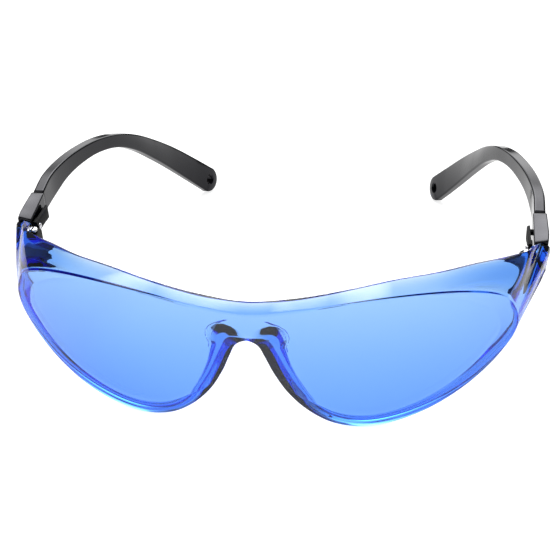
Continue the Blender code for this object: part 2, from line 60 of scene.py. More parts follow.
# Half of the front face's edge, from the middle out, as (x, z, skirt dx, skirt dy, skirt dz, bow, cove,
# wall, swell, line). The wall swells a little towards the middle of the skirt, and a fine line is cut in
# the front of the lens at that distance from the edge.
BROW = [
    (0.0, 5.1, 0.0, 2.7, 2.0, 0.0, 0.3, 2.2, 0.1, 0.0),
    (12.0, 6.7, 0.2, 3.0, 1.7, 0.0, 0.3, 2.1, 0.1, 0.0),
    (24.0, 8.4, 0.5, 3.6, 2.0, 0.0, 0.3, 1.6, 0.2, 0.0),
    (33.0, 9.0, 1.3, 5.0, 2.3, 0.2, 0.3, 1.3, 0.3, 0.0),
    (42.0, 8.6, 2.0, 7.3, 1.8, 0.3, 0.3, 1.2, 0.5, 0.5),
    (50.0, 7.1, 2.6, 10.6, 1.7, 0.5, 0.3, 1.2, 0.9, 1.5),
    (57.0, 4.3, 3.8, 13.8, 2.3, 0.7, 0.4, 1.2, 1.2, 2.8),
    (61.2, 1.2, 6.0, 19.0, 2.7, 0.6, 0.6, 1.5, 0.8, 3.6),
    (63.2, -2.3, 7.1, 25.7, 3.2, 0.4, 0.8, 2.0, 0.2, 4.0),
    (64.0, -4.9, 8.6, 25.0, 4.6, 0.4, 0.8, 2.1, 0.0, 4.2),
    (64.2, -6.4, 8.2, 24.6, 2.2, 0.2, 0.8, 2.1, 0.0, 4.2),
]
RIM = [
    (0.0, -2.6, 0.0, 1.7, 0.1, 0.0, 0.3, 0.9, 0.0, 0.0),
    (2.6, -3.8, 2.2, 3.4, 0.8, 0.0, 0.4, 5.0, 0.0, 0.0),
    (4.1, -6.8, 2.7, 3.5, 0.5, 0.0, 0.6, 2.9, 0.0, 0.0),
    (6.3, -12.0, 2.8, 3.8, 0.3, 0.0, 0.6, 2.0, 0.0, 0.0),
    (9.8, -18.0, 2.2, 4.0, 0.5, 0.0, 0.6, 1.5, 0.0, 0.8),
    (14.8, -23.3, 1.0, 4.0, 0.4, 0.0, 0.5, 1.1, 0.0, 2.6),
    (20.8, -27.0, 0.4, 4.0, 0.4, 0.0, 0.4, 1.0, 0.0, 3.2),
    (28.3, -28.5, 0.0, 4.0, 0.4, 0.0, 0.4, 1.0, 0.0, 3.4),
    (36.5, -27.6, -0.2, 4.0, 0.4, 0.0, 0.4, 1.0, 0.0, 3.4),
    (45.0, -24.9, -0.3, 4.0, 0.4, 0.0, 0.4, 1.0, 0.0, 3.6),
    (52.5, -21.0, -0.3, 4.0, 0.3, 0.0, 0.4, 1.0, 0.0, 3.8),
    (58.0, -16.8, -0.2, 4.1, 0.3, 0.0, 0.4, 1.1, 0.0, 4.0),
    (61.3, -13.3, 0.8, 5.1, 0.7, 0.1, 0.5, 1.2, 0.0, 4.2),
    (63.2, -10.6, 2.6, 9.0, 2.0, 0.2, 0.6, 1.5, 0.0, 4.2),
    (64.1, -7.9, 6.2, 16.8, 2.3, 0.0, 0.8, 2.0, 0.0, 4.2),
]
# What each number of a station is multiplied by on the other half of the shield.
MIRROR = np.array([-1.0, 1.0, -1.0, 1.0, 1.0, 1.0, 1.0, 1.0, 1.0, 1.0])
# The fine line, which fades out where it would lie closer to the edge than LINE_FADE.
LINE_DEPTH = 0.08
LINE_WIDTH = 0.4
LINE_FADE = 1.5
# The lens is thicker low down, by WALL_GAIN for each millimetre of height.
LENS_TOP_WALL = 1.6
LENS_TOP_Z = 8.0
WALL_GAIN = 0.032
# The share of the skirt's wall that is left at its rear edge, at these distances from the middle.
TAPER_X = (4.0, 10.0, 40.0, 60.0)
TAPERS = (0.3, 0.5, 0.5, 1.0)
# The round edges, and the most of the skirt's wall or length that they take up.
FRONT_ROUND = 0.15
RIM_ROUND = 0.35
RIM_WALL_SHARE = 0.4
RIM_LENGTH_SHARE = 0.3
COVE_LENGTH_SHARE = 0.6
# How finely the faces, the skirt and its round edges are cut.
HALF_COLUMNS = 130
FACE_ROWS = 26
SKIRT_STEPS = 10
ROUND_STEPS = 5


def face_y(x):
    """Front of the shield in plan: flat over the nose, wrapping back towards the temples."""
    return FACE_FRONT_Y + WRAP_SAG * (np.abs(x) / WRAP_HALF_SPAN) ** WRAP_POWER


def behind(x, wall):
    """The place one wall behind the front, measured square to it."""
    span_slope = WRAP_POWER * WRAP_SAG / WRAP_HALF_SPAN
    slope = span_slope * (np.abs(x) / WRAP_HALF_SPAN) ** (WRAP_POWER - 1.0)
    return face_y(x) + wall * np.hypot(1.0, slope)


def lens_wall(z):
    """Thickness of the lens, which is greater low down."""
    return LENS_TOP_WALL + WALL_GAIN * (LENS_TOP_Z - z)


# The temples meet the shield at the rear of its end pieces, at this station of the brow, and the y of
# every piece behind it is measured from there.
END_STATION = 8
END_Y = face_y(BROW[END_STATION][0]) + BROW[END_STATION][3]
HINGE_PLACE = (67.0, -2.6)
HINGE = Vector((HINGE_PLACE[0], END_Y + HINGE_PLACE[1], 0.0))
joints = {joint["name"]: joint for joint in frame["joints"]}
hinge_axis = Vector(joints["right_fold"]["axis"])
rest_angle = math.atan2(-hinge_axis.y, hinge_axis.z)
rest_turn = Matrix.Rotation(rest_angle, 3, "X")
rest_place = Vector(joints["right_fold"]["pos_m"]) - rest_turn @ HINGE * MM


def at_rest(points):
    """Points drawn as worn, in millimetres, where they lie with the glasses set down, in metres."""
    return np.asarray(points, float) @ np.array(rest_turn).T * MM + np.array(rest_place)


def even_samples(rows, columns, count):
    """Rows of numbers at even steps along a smooth curve, which the first and last rows only steer."""
    rows = np.array(rows, float)
    steps = np.linalg.norm(np.diff(rows[:, columns], axis=0), axis=1)
    along = np.concatenate([[0.0], np.cumsum(steps)])
    at = np.linspace(along[1], along[-2], count)
    k = np.clip(np.searchsorted(along, at) - 1, 1, len(rows) - 3)
    span = along[k + 1] - along[k]
    t = ((at - along[k]) / span)[:, None]
    leave = (rows[k + 1] - rows[k - 1]) * (span / (along[k + 1] - along[k - 1]))[:, None]
    arrive = (rows[k + 2] - rows[k]) * (span / (along[k + 2] - along[k]))[:, None]
    start = rows[k] * (2 * t**3 - 3 * t**2 + 1) + leave * (t**3 - 2 * t**2 + t)
    return start + rows[k + 1] * (3 * t**2 - 2 * t**3) + arrive * (t**3 - t**2)


def shield_ring():
    """Stations all round the front face: brow, one end, rim, other end, clockwise from the front."""
    rows = [MIRROR * BROW[1], *BROW, *RIM[::-1], MIRROR * RIM[1]]
    half = even_samples(rows, [0, 1], 2 * HALF_COLUMNS + FACE_ROWS + 1)
    return np.concatenate([half, half[-2:0:-1] * MIRROR])


def rounded(before, corner, after):
    """Loops of points that turn a corner on a curve, from one loop to another."""
    steps = np.linspace(0.0, 1.0, ROUND_STEPS)
    return [before * (1 - s) ** 2 + corner * 2 * s * (1 - s) + after * s**2 for s in steps]


def shield_layers(ring):
    """Loops of points from the front edge back along the skirt, over its rim and in to the rear face."""
    x, z, dx, dy, dz, bow, cove, wall, swell, line = ring.T
    along = np.roll(ring[:, :2], -1, axis=0) - np.roll(ring[:, :2], 1, axis=0)
    along /= np.linalg.norm(along, axis=1)[:, None]
    inward = np.stack([along[:, 1], np.zeros(len(ring)), -along[:, 0]], axis=1)
    front = np.stack([x, face_y(x), z], axis=1)
    rear = front + np.stack([dx, dy, dz], axis=1)
    rear[:, 1] = np.minimum(rear[:, 1], END_Y)
    lean = np.sum((rear - front) * inward, axis=1) / (rear - front)[:, 1]
    wall = wall * np.hypot(1.0, lean)
    inset = wall + lean * (behind(x, lens_wall(z)) - front[:, 1])
    inside = front + inward * inset[:, None]
    inside[:, 1] = behind(inside[:, 0], lens_wall(inside[:, 2]))
    taper = np.interp(np.abs(x), TAPER_X, TAPERS)
    inside_rear = rear + inward * (wall * taper)[:, None]

    def skirt(start, end, t, bulge):
        """A loop part of the way along the skirt, pushed outward between its ends."""
        out = inward * (bulge * 4.0 * t * (1.0 - t))[:, None]
        return start + (end - start) * np.reshape(t, (-1, 1)) - out

    def on_face(edge, reach, thickness):
        """A loop that lies inside an edge, on the front or the rear face."""
        points = edge + inward * np.reshape(reach, (-1, 1))
        points[:, 1] = behind(points[:, 0], thickness(points[:, 2]))
        return points

    outer_length = np.linalg.norm(rear - front, axis=1)
    inner_length = np.linalg.norm(inside_rear - inside, axis=1)
    first, last = FRONT_ROUND / outer_length, 1.0 - RIM_ROUND / outer_length
    inner_last = 1.0 - np.minimum(RIM_ROUND / inner_length, RIM_LENGTH_SHARE)
    inner_first = np.minimum(cove / inner_length, COVE_LENGTH_SHARE)
    between = np.linspace(0.0, 1.0, SKIRT_STEPS + 2)[1:-1]
    layers = []
    reach = np.maximum(2.0 * FRONT_ROUND, line)
    for share, depth in ((1.0, 0.0), (0.5, LINE_DEPTH), (0.0, 0.0)):
        loop = on_face(front, reach + LINE_WIDTH * share, np.zeros_like)
        loop[:, 1] += depth * np.clip(line / LINE_FADE, 0.0, 1.0)
        layers.append(loop)
    layers += rounded(on_face(front, FRONT_ROUND, np.zeros_like), front, skirt(front, rear, first, bow))
    layers += [skirt(front, rear, first + (last - first) * s, bow) for s in between]
    rim = np.minimum(RIM_ROUND, RIM_WALL_SHARE * wall * taper)[:, None]
    layers += rounded(skirt(front, rear, last, bow), rear, rear + inward * rim)
    inner_edge = inside_rear - inward * rim
    layers += rounded(inner_edge, inside_rear, skirt(inside, inside_rear, inner_last, bow - swell))
    for s in between:
        at = inner_last + (inner_first - inner_last) * s
        layers.append(skirt(inside, inside_rear, at, bow - swell))
    start = skirt(inside, inside_rear, inner_first, bow - swell)
    layers += rounded(start, inside, on_face(inside, cove, lens_wall))
    return layers


def face_grid(edge, first, wall, points):
    """Faces that fill one loop of the shield, following the wrap of the lens. New points are added."""
    n, rows, total = HALF_COLUMNS, FACE_ROWS, len(edge)
    columns = np.arange(2 * n + 1)
    top, bottom = (columns - n) % total, (total // 2 + n - columns) % total
    grid = np.empty((2 * n + 1, rows + 1), int)
    grid[:, 0], grid[:, -1] = first + top, first + bottom
    for row in range(1, rows):
        line = edge[top] + (edge[bottom] - edge[top]) * (row / rows)
        line[:, 1] = behind(line[:, 0], wall(line[:, 2]))
        grid[:, row] = len(points) + columns
        grid[0, row], grid[-1, row] = first + total - n - row, first + n + row
        points.extend(line)
    return np.stack([grid[:-1, :-1], grid[1:, :-1], grid[1:, 1:], grid[:-1, 1:]], axis=-1)


def add_piece(name, mesh, body, replaced):
    """An object that stands for the named solids and rides on their body."""
    piece = bpy.data.objects.new(name, mesh)
    bpy.context.scene.collection.objects.link(piece)
    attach(piece, body)
    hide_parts(*replaced)


def outward_mesh(name, points, faces, finish):
    """A smooth mesh with its faces turned outward and no point left over."""
    mesh = bpy.data.meshes.new(name)
    mesh.from_pydata(points, [], faces)
    bm = bmesh.new()
    bm.from_mesh(mesh)
    bmesh.ops.remove_doubles(bm, verts=bm.verts, dist=1e-7)
    bmesh.ops.delete(bm, geom=[v for v in bm.verts if not v.link_faces], context="VERTS")
    bmesh.ops.recalc_face_normals(bm, faces=bm.faces)
    bm.to_mesh(mesh)
    bm.free()
    mesh.shade_smooth()
    mesh.materials.append(finish)
    return mesh


def linear(code):
    """A colour in linear light from its sRGB hex code."""
    values = [int(code[i : i + 2], 16) / 255.0 for i in (1, 3, 5)]
    return (*[v / 12.92 if v <= 0.04045 else ((v + 0.055) / 1.055) ** 2.4 for v in values], 1.0)


def add_node(tree, kind, inputs=None, **properties):
    """A node with its properties set and each named input given a value or linked to a socket."""
    node = tree.nodes.new(kind)
    for name, value in properties.items():
        setattr(node, name, value)
    for name, value in (inputs or {}).items():
        if isinstance(value, bpy.types.NodeSocket):
            tree.links.new(value, node.inputs[name])
        else:
            node.inputs[name].default_value = value
    return node


def new_material(name):
    """An empty material and its node tree."""
    made = bpy.data.materials.new(name)
    made.use_nodes = True
    made.node_tree.nodes.clear()
    return made, made.node_tree


# Polycarbonate bends light strongly and takes out red first, then green, so the lens is sky blue face
# on, and the edges, where light runs far inside the wall, turn deep blue. Flow marks from the mould
# ripple it very slightly. The light of the lamps goes through it unshaded.
FLOW_WIDTH = 16.7
clear_blue, tree = new_material("blue polycarbonate, moulded clear")
place = add_node(tree, "ShaderNodeTexCoord").outputs["Object"]
flow = add_node(
    tree,
    "ShaderNodeTexNoise",
    {"Vector": place, "Scale": 1.0 / (FLOW_WIDTH * MM), "Detail": 1.0},
)
ripple = add_node(
    tree,
    "ShaderNodeBump",
    {"Height": flow.outputs["Fac"], "Strength": 0.02, "Distance": 0.0005},
)
shader = add_node(
    tree,
    "ShaderNodeBsdfPrincipled",
    {
        "Base Color": linear("#FFFFFF"),
        "Roughness": 0.0,
        "IOR": 1.585,
        "Transmission Weight": 1.0,
        "Normal": ripple.outputs["Normal"],
    },
)
tint = add_node(
    tree,
    "ShaderNodeVolumeAbsorption",
    {"Color": linear("#00B8F8"), "Density": 770.0},
)
lit_through = add_node(tree, "ShaderNodeBsdfTransparent")
shadow_ray = add_node(tree, "ShaderNodeLightPath").outputs["Is Shadow Ray"]
surface = add_node(
    tree,
    "ShaderNodeMixShader",
    {0: shadow_ray, 1: shader.outputs["BSDF"], 2: lit_through.outputs["BSDF"]},
)
add_node(
    tree,
    "ShaderNodeOutputMaterial",
    {"Surface": surface.outputs["Shader"], "Volume": tint.outputs["Volume"]},
)

layers = shield_layers(shield_ring())
shield_points = [point for layer in layers for point in layer]
total = len(layers[0])
here = np.arange(total)
shield_faces = []
for level in range(len(layers) - 1):
    a, b = level * total, (level + 1) * total
    shield_faces.append(np.stack([a + here - 1, a + here, b + here, b + here - 1], axis=-1))
    shield_faces[-1][0, 0], shield_faces[-1][0, 3] = a + total - 1, b + total - 1
shield_faces.append(face_grid(layers[0], 0, np.zeros_like, shield_points).reshape(-1, 4))
last_loop = (len(layers) - 1) * total
shield_faces.append(face_grid(layers[-1], last_loop, lens_wall, shield_points).reshape(-1, 4))
shield_mesh = outward_mesh(
    "shield", at_rest(shield_points), np.concatenate(shield_faces).tolist(), clear_blue
)
add_piece("shield", shield_mesh, "front", ["lens_shield"])

# Hinge blocks.
# A small black nylon wedge pressed into each corner of the shield, with two moulded lugs that fork
# round the temple's knuckle and are bored for the hinge screw.
# Each station of the wedge is (y, inner x, outer x, bottom z, top z).
BLOCK_STATIONS = [
    (-16.8, 63.9, 64.6, -4.3, -1.0),
    (-15.0, 64.2, 65.2, -5.2, -0.6),
    (-11.0, 64.9, 66.4, -8.0, 0.2),
    (-8.0, 65.2, 67.2, -8.2, 0.2),
    (-5.4, 65.0, 67.9, -9.0, -0.4),
]
LUG_LEVELS = ((-9.0, -7.9), (-3.7, -1.2))
# Plan points where each lug leaves the wedge. It ends in a round eye, as wide as the knuckle.
LUG_ROOT = [(64.4, -5.4), (69.0, -5.4), (64.4, -6.4), (69.0, -6.4)]
KNUCKLE_RADIUS = 2.4
BORE_RADIUS = 1.0
BORE_Z = (-11.4, -0.2)
ROUND_SIDES = 48
CREASE = math.radians(35.0)
SIDES = (("left", -1.0), ("right", 1.0))
# Matt nylon: the mould is grained here, so the piece looks dead black, also through the blue. The real
# grain is about 0.1 mm wide, and it is drawn as coarse as it needs to show.
GRAIN_WIDTH = 0.667
matt_nylon, tree = new_material("black nylon, moulded matt")
place = add_node(tree, "ShaderNodeTexCoord").outputs["Object"]
grain = add_node(
    tree,
    "ShaderNodeTexNoise",
    {"Vector": place, "Scale": 1.0 / (GRAIN_WIDTH * MM), "Detail": 2.0},
)
texture = add_node(
    tree,
    "ShaderNodeBump",
    {"Height": grain.outputs["Fac"], "Strength": 0.1, "Distance": 0.0001},
)
shader = add_node(
    tree,
    "ShaderNodeBsdfPrincipled",
    {
        "Base Color": linear("#08090B"),
        "Roughness": 0.6,
        "IOR": 1.53,
        "Specular IOR Level": 0.12,
        "Normal": texture.outputs["Normal"],
    },
)
add_node(tree, "ShaderNodeOutputMaterial", {"Surface": shader.outputs["BSDF"]})


def loft(loops):
    """Points and faces of a solid over equal loops of points, capped at both ends."""
    count = len(loops[0])
    faces = [list(range(count))[::-1], list(range((len(loops) - 1) * count, len(loops) * count))]
    for level in range(len(loops) - 1):
        a, b = level * count, (level + 1) * count
        for i in range(count):
            j = (i + 1) % count
            faces.append([a + i, a + j, b + j, b + i])
    return np.concatenate(loops), faces


def solid(name, loops, side, finish):
    """An object lofted over loops drawn as worn, behind the end piece, on one side of the glasses."""
    points, faces = loft(loops)
    points = points * (side, 1.0, 1.0) + (0.0, END_Y, 0.0)
    made = bpy.data.objects.new(name, outward_mesh(name, at_rest(points), faces, finish))
    bpy.context.scene.collection.objects.link(made)
    return made


def circle(centre, radius):
    """Points round a circle."""
    angles = np.linspace(0.0, 2.0 * math.pi, ROUND_SIDES, endpoint=False)
    return [(centre[0] + radius * math.cos(a), centre[1] + radius * math.sin(a)) for a in angles]


def upright(outline, levels):
    """Loops of a solid with one plan outline, between two levels."""
    return [np.array([(x, y, z) for x, y in outline]) for z in levels]


def carved(body, steps):
    """The mesh of a solid after joining or cutting it with others, which are then removed."""
    for operation, tool in steps:
        boolean = body.modifiers.new(operation, "BOOLEAN")
        boolean.operation = operation
        boolean.solver = "EXACT"
        boolean.object = tool
    made = bpy.data.meshes.new_from_object(body.evaluated_get(bpy.context.evaluated_depsgraph_get()))
    made.name = body.name
    for item in [body] + [tool for _, tool in steps]:
        bpy.data.objects.remove(item)
    made.shade_smooth()
    made.set_sharp_from_angle(angle=CREASE)
    return made


def hull(points):
    """Convex outline round a set of plan points, anticlockwise."""
    ordered = sorted(set(points))
    outline = []
    for run in (ordered, ordered[::-1]):
        chain = []
        for p in run:
            while len(chain) > 1:
                (ax, ay), (bx, by) = chain[-2], chain[-1]
                if (bx - ax) * (p[1] - ay) - (by - ay) * (p[0] - ax) > 1e-9:
                    break
                chain.pop()
            chain.append(p)
        outline += chain[:-1]
    return outline


wedge = []
for y, x0, x1, z0, z1 in BLOCK_STATIONS:
    wedge.append(np.array([(x0, y, z0), (x1, y, z0), (x1, y, z1), (x0, y, z1)]))
lug = hull(circle(HINGE_PLACE, KNUCKLE_RADIUS) + LUG_ROOT)
bore = upright(circle(HINGE_PLACE, BORE_RADIUS), BORE_Z)
for word, side in SIDES:
    name = f"{word}_block"
    steps = []
    for levels in LUG_LEVELS:
        steps.append(("UNION", solid("lug", upright(lug, levels), side, matt_nylon)))
    steps.append(("DIFFERENCE", solid("bore", bore, side, matt_nylon)))
    mesh = carved(solid(name, wedge, side, matt_nylon), steps)
    add_piece(name, mesh, "front", [f"{word}_hinge_block"])

# Hinge screws.
# A nickel-plated steel machine screw in each hinge, turned on a lathe and slotted for a driver. It goes
# down through both lugs and the knuckle between them, and the temple folds on it.
# The profile is (radius, height), from the point up to the head.
SCREW_PROFILE = [
    (0.70, -9.3),
    (0.70, -0.91),
    (1.30, -0.90),
    (1.30, -0.40),
    (1.22, -0.22),
    (1.02, -0.12),
    (0.60, -0.10),
]
# The slot's cutter: its width, its length and twice its depth.
SCREW_SLOT = (0.4, 4.0, 0.7)
PIN_CREASE = math.radians(30.0)

# Bright nickel over turned steel: a pale grey metal shine, made uneven by fine tool marks. The real
# marks are hundredths of a millimetre wide, and they are drawn as coarse as they need to show.
MARK_WIDTH = 1.11
nickel_steel, tree = new_material("nickel-plated steel, turned")
place = add_node(tree, "ShaderNodeTexCoord").outputs["Object"]
marks = add_node(
    tree,
    "ShaderNodeTexNoise",
    {"Vector": place, "Scale": 1.0 / (MARK_WIDTH * MM), "Detail": 2.0},
)
polish = add_node(
    tree,
    "ShaderNodeMapRange",
    {"Value": marks.outputs["Fac"], "To Min": 0.22, "To Max": 0.38},
)
shader = add_node(
    tree,
    "ShaderNodeBsdfPrincipled",
    {
        "Base Color": linear("#C9C9CC"),
        "Metallic": 1.0,
        "Roughness": polish.outputs["Result"],
    },
)
add_node(tree, "ShaderNodeOutputMaterial", {"Surface": shader.outputs["BSDF"]})

# The tree turns a half profile, drawn as (radius, height), into a pin and sets copies of it in a row.
pins = bpy.data.node_groups.new("turned pins", "GeometryNodeTree")
pins.is_modifier = True
pin_sockets = {}
for name, kind in (
    ("Profile", "NodeSocketGeometry"),
    ("Sides", "NodeSocketInt"),
    ("Count", "NodeSocketInt"),
    ("First", "NodeSocketVector"),
    ("Step", "NodeSocketVector"),
    ("Turn", "NodeSocketVector"),
    ("Slotted", "NodeSocketBool"),
    ("Slot Size", "NodeSocketVector"),
    ("Slot Place", "NodeSocketVector"),
    ("Finish", "NodeSocketMaterial"),
):
    socket = pins.interface.new_socket(name, in_out="INPUT", socket_type=kind)
    pin_sockets[name] = socket.identifier
pins.interface.new_socket("Pins", in_out="OUTPUT", socket_type="NodeSocketGeometry")
given = pins.nodes.new("NodeGroupInput").outputs
spot = add_node(pins, "GeometryNodeInputPosition").outputs["Position"]
drawn = add_node(pins, "ShaderNodeSeparateXYZ", {"Vector": spot})
line = add_node(pins, "GeometryNodeMeshToCurve", {"Mesh": given["Profile"]})
keep = add_node(
    pins,
    "GeometryNodeCaptureAttribute",
    {"Geometry": line.outputs["Curve"]},
)
keep.capture_items.new("FLOAT", "radius")
pins.links.new(drawn.outputs["X"], keep.inputs["radius"])
centre = add_node(pins, "ShaderNodeCombineXYZ", {"Z": drawn.outputs["Z"]})
axis_line = add_node(
    pins,
    "GeometryNodeSetPosition",
    {"Geometry": keep.outputs["Geometry"], "Position": centre.outputs["Vector"]},
)
round_section = add_node(
    pins, "GeometryNodeCurvePrimitiveCircle", {"Resolution": given["Sides"], "Radius": 1.0}
)
turned = add_node(
    pins,
    "GeometryNodeCurveToMesh",
    {
        "Curve": axis_line.outputs["Geometry"],
        "Profile Curve": round_section.outputs["Curve"],
        "Scale": keep.outputs["radius"],
        "Fill Caps": True,
    },
)
slot_block = add_node(pins, "GeometryNodeMeshCube", {"Size": given["Slot Size"]})
slot_tool = add_node(
    pins,
    "GeometryNodeTransform",
    {"Geometry": slot_block.outputs["Mesh"], "Translation": given["Slot Place"]},
)
slotted = add_node(
    pins,
    "GeometryNodeMeshBoolean",
    {"Mesh 1": turned.outputs["Mesh"], "Mesh 2": slot_tool.outputs["Geometry"]},
    operation="DIFFERENCE",
)
pin = add_node(
    pins,
    "GeometryNodeSwitch",
    {
        "Switch": given["Slotted"],
        "False": turned.outputs["Mesh"],
        "True": slotted.outputs["Mesh"],
    },
    input_type="GEOMETRY",
)
row = add_node(
    pins,
    "GeometryNodeMeshLine",
    {"Count": given["Count"], "Start Location": given["First"], "Offset": given["Step"]},
)
copies = add_node(
    pins,
    "GeometryNodeInstanceOnPoints",
    {
        "Points": row.outputs["Mesh"],
        "Instance": pin.outputs["Output"],
        "Rotation": given["Turn"],
    },
)
solid_pins = add_node(
    pins, "GeometryNodeRealizeInstances", {"Geometry": copies.outputs["Instances"]}
)
finished = add_node(
    pins,
    "GeometryNodeSetMaterial",
    {"Geometry": solid_pins.outputs["Geometry"], "Material": given["Finish"]},
)
add_node(pins, "NodeGroupOutput", {"Pins": finished.outputs["Geometry"]})


def turned_pins(name, profile, values):
    """The mesh of a row of pins turned from one profile in millimetres."""
    mesh = bpy.data.meshes.new(name + "_profile")
    edges = [(i, i + 1) for i in range(len(profile) - 1)]
    mesh.from_pydata([(radius * MM, 0.0, height * MM) for radius, height in profile], edges, [])
    blank = bpy.data.objects.new(name + "_profile", mesh)
    bpy.context.scene.collection.objects.link(blank)
    modifier = blank.modifiers.new("turned pins", "NODES")
    modifier.node_group = pins
    for socket, value in values.items():
        modifier[pin_sockets[socket]] = value
    blank.update_tag()
    made = bpy.data.meshes.new_from_object(
        blank.evaluated_get(bpy.context.evaluated_depsgraph_get())
    )
    made.name = name
    blank.modifiers.clear()
    bpy.data.objects.remove(blank)
    made.shade_smooth()
    made.set_sharp_from_angle(angle=PIN_CREASE)
    return made


left_hinge = Vector(joints["left_fold"]["pos_m"])
right_hinge = Vector(joints["right_fold"]["pos_m"])
screws = turned_pins(
    "hinge_screws",
    SCREW_PROFILE,
    {
        "Sides": 40,
        "Count": 2,
        "First": left_hinge,
        "Step": right_hinge - left_hinge,
        "Turn": (rest_angle, 0.0, 0.0),
        "Slotted": True,
        "Slot Size": [size * MM for size in SCREW_SLOT],
        "Slot Place": (0.0, 0.0, SCREW_PROFILE[-1][1] * MM),
        "Finish": nickel_steel,
    },
)
add_piece("hinge_screws", screws, "front", ["left_hinge_screw", "right_hinge_screw"])

# Temple sleeves.
# The front half of each temple: a hollow black nylon box with rounded edges, its knuckle reaching
# forward into the hinge and its rear end open for the arm's tongue.
SLEEVE_INNER_X = 68.5
# Each station is (y, inner top z, outer top z, bottom z, width).
SLEEVE_STATIONS = [
    (0.3, 0.4, 1.3, -8.6, 3.6),
    (2.2, 0.7, 1.6, -6.7, 3.8),
    (4.1, 1.0, 1.8, -5.6, 3.9),
    (8.5, 1.7, 2.3, -4.7, 3.8),
    (13.0, 2.5, 2.6, -3.8, 3.7),
]
SLEEVE_EDGE = 0.3
SLEEVE_STEPS = 12
# How the round edges are cut: the turns at an end, how fast the corners tighten towards it, the steps
# round each corner, and how far from the corner the flat beside it is held.
EDGE_TURNS = np.radians([0.0, 30.0, 60.0, 90.0])
EDGE_TIGHTEN = 0.8
CORNER_STEPS = 6
SUPPORT = 0.12
# The arm's tongue and the latch's tooth fill these boxes, with a clearance all round.
TONGUE_LOW = np.array([69.5, 3.7, -2.7])
TONGUE_HIGH = np.array([71.1, 16.0, -0.3])
TOOTH_LOW = np.array([67.5, 8.6, -2.1])
TOOTH_HIGH = np.array([70.0, 10.0, -0.9])
CLEARANCE = 0.3
KNUCKLE_Z = (-7.6, -4.0)
# Plan points where the knuckle's link joins the sleeve.
LINK_ROOT = [(68.85, 1.2), (70.05, 1.2)]
# How far the hinge's bore is cut past the knuckle, above and below.
BORE_PAST = 1.0
# The latch's rivet, as (y, z), and its hole.
RIVET_PLACE = (2.2, -2.1)
RIVET_HOLE_RADIUS = 0.8
RIVET_HOLE_X = (67.5, 71.0)
# Glossy nylon: nearly black, with a clean polished-mould shine that is uneven in faint broad patches.
GLOSS_WIDTH = 4.55
black_nylon, tree = new_material("black nylon, moulded glossy")
place = add_node(tree, "ShaderNodeTexCoord").outputs["Object"]
cloud = add_node(
    tree,
    "ShaderNodeTexNoise",
    {"Vector": place, "Scale": 1.0 / (GLOSS_WIDTH * MM), "Detail": 2.0},
)
gloss = add_node(
    tree,
    "ShaderNodeMapRange",
    {"Value": cloud.outputs["Fac"], "To Min": 0.08, "To Max": 0.13},
)
shine = add_node(
    tree,
    "ShaderNodeBump",
    {"Height": cloud.outputs["Fac"], "Strength": 0.03, "Distance": 0.0001},
)
shader = add_node(
    tree,
    "ShaderNodeBsdfPrincipled",
    {
        "Base Color": linear("#0D0E12"),
        "Roughness": gloss.outputs["Result"],
        "IOR": 1.53,
        "Specular IOR Level": 0.2,
        "Specular Tint": linear("#EFEEFB"),
        "Normal": shine.outputs["Normal"],
    },
)
add_node(tree, "ShaderNodeOutputMaterial", {"Surface": shader.outputs["BSDF"]})


def block(low, high):
    """Loops of a plain box between two corners."""
    (x0, y0, z0), (x1, y1, z1) = low, high
    return upright([(x0, y0), (x1, y0), (x1, y1), (x0, y1)], (z0, z1))


def round_corners(corners, radius):
    """A closed outline with each corner turned on an arc and flats kept flat by a point beside it."""
    corners = np.asarray(corners, float)
    points = []
    for i, corner in enumerate(corners):
        back, on = corners[i - 1] - corner, corners[(i + 1) % len(corners)] - corner
        back, on = back / np.linalg.norm(back), on / np.linalg.norm(on)
        half = 0.5 * math.acos(np.clip(back @ on, -1.0, 1.0))
        reach = radius / math.tan(half)
        middle = (back + on) / np.linalg.norm(back + on)
        centre = corner + middle * radius / math.sin(half)
        first, last = corner + back * reach - centre, corner + on * reach - centre
        sweep = math.acos(np.clip(first @ last / radius**2, -1.0, 1.0))
        points.append(corner + back * (reach + SUPPORT))
        for step in np.linspace(0.0, 1.0, CORNER_STEPS + 1):
            turn = first * math.sin((1 - step) * sweep) + last * math.sin(step * sweep)
            points.append(centre + turn / math.sin(sweep))
        points.append(corner + on * (reach + SUPPORT))
    return np.array(points)


def sleeve_loops():
    """Loops from the front of a sleeve to its rear, drawn in at both ends."""
    stations = np.array(SLEEVE_STATIONS)
    before, after = 2 * stations[0] - stations[1], 2 * stations[-1] - stations[-2]
    samples = even_samples([before, *stations, after], [0], SLEEVE_STEPS + 1)
    start, end = stations[0][0], stations[-1][0]
    front = []
    for turn in EDGE_TURNS:
        front.append((start + SLEEVE_EDGE * (1 - math.cos(turn)), SLEEVE_EDGE * (1 - math.sin(turn))))
    rear = [(start + end - y, inset) for y, inset in front[::-1]]
    loops = []
    for y, inset in front + [(y, 0.0) for y in samples[1:-1, 0]] + rear:
        inner_top, outer_top, bottom, width = [
            np.interp(y, samples[:, 0], samples[:, column]) for column in (1, 2, 3, 4)
        ]
        x0, x1 = SLEEVE_INNER_X + inset, SLEEVE_INNER_X + width - inset
        corners = [
            (x0, bottom + inset),
            (x1, bottom + inset),
            (x1, outer_top - inset),
            (x0, inner_top - inset),
        ]
        outline = round_corners(corners, SLEEVE_EDGE - EDGE_TIGHTEN * inset)
        loops.append(np.stack([outline[:, 0], np.full(len(outline), y), outline[:, 1]], axis=1))
    return loops


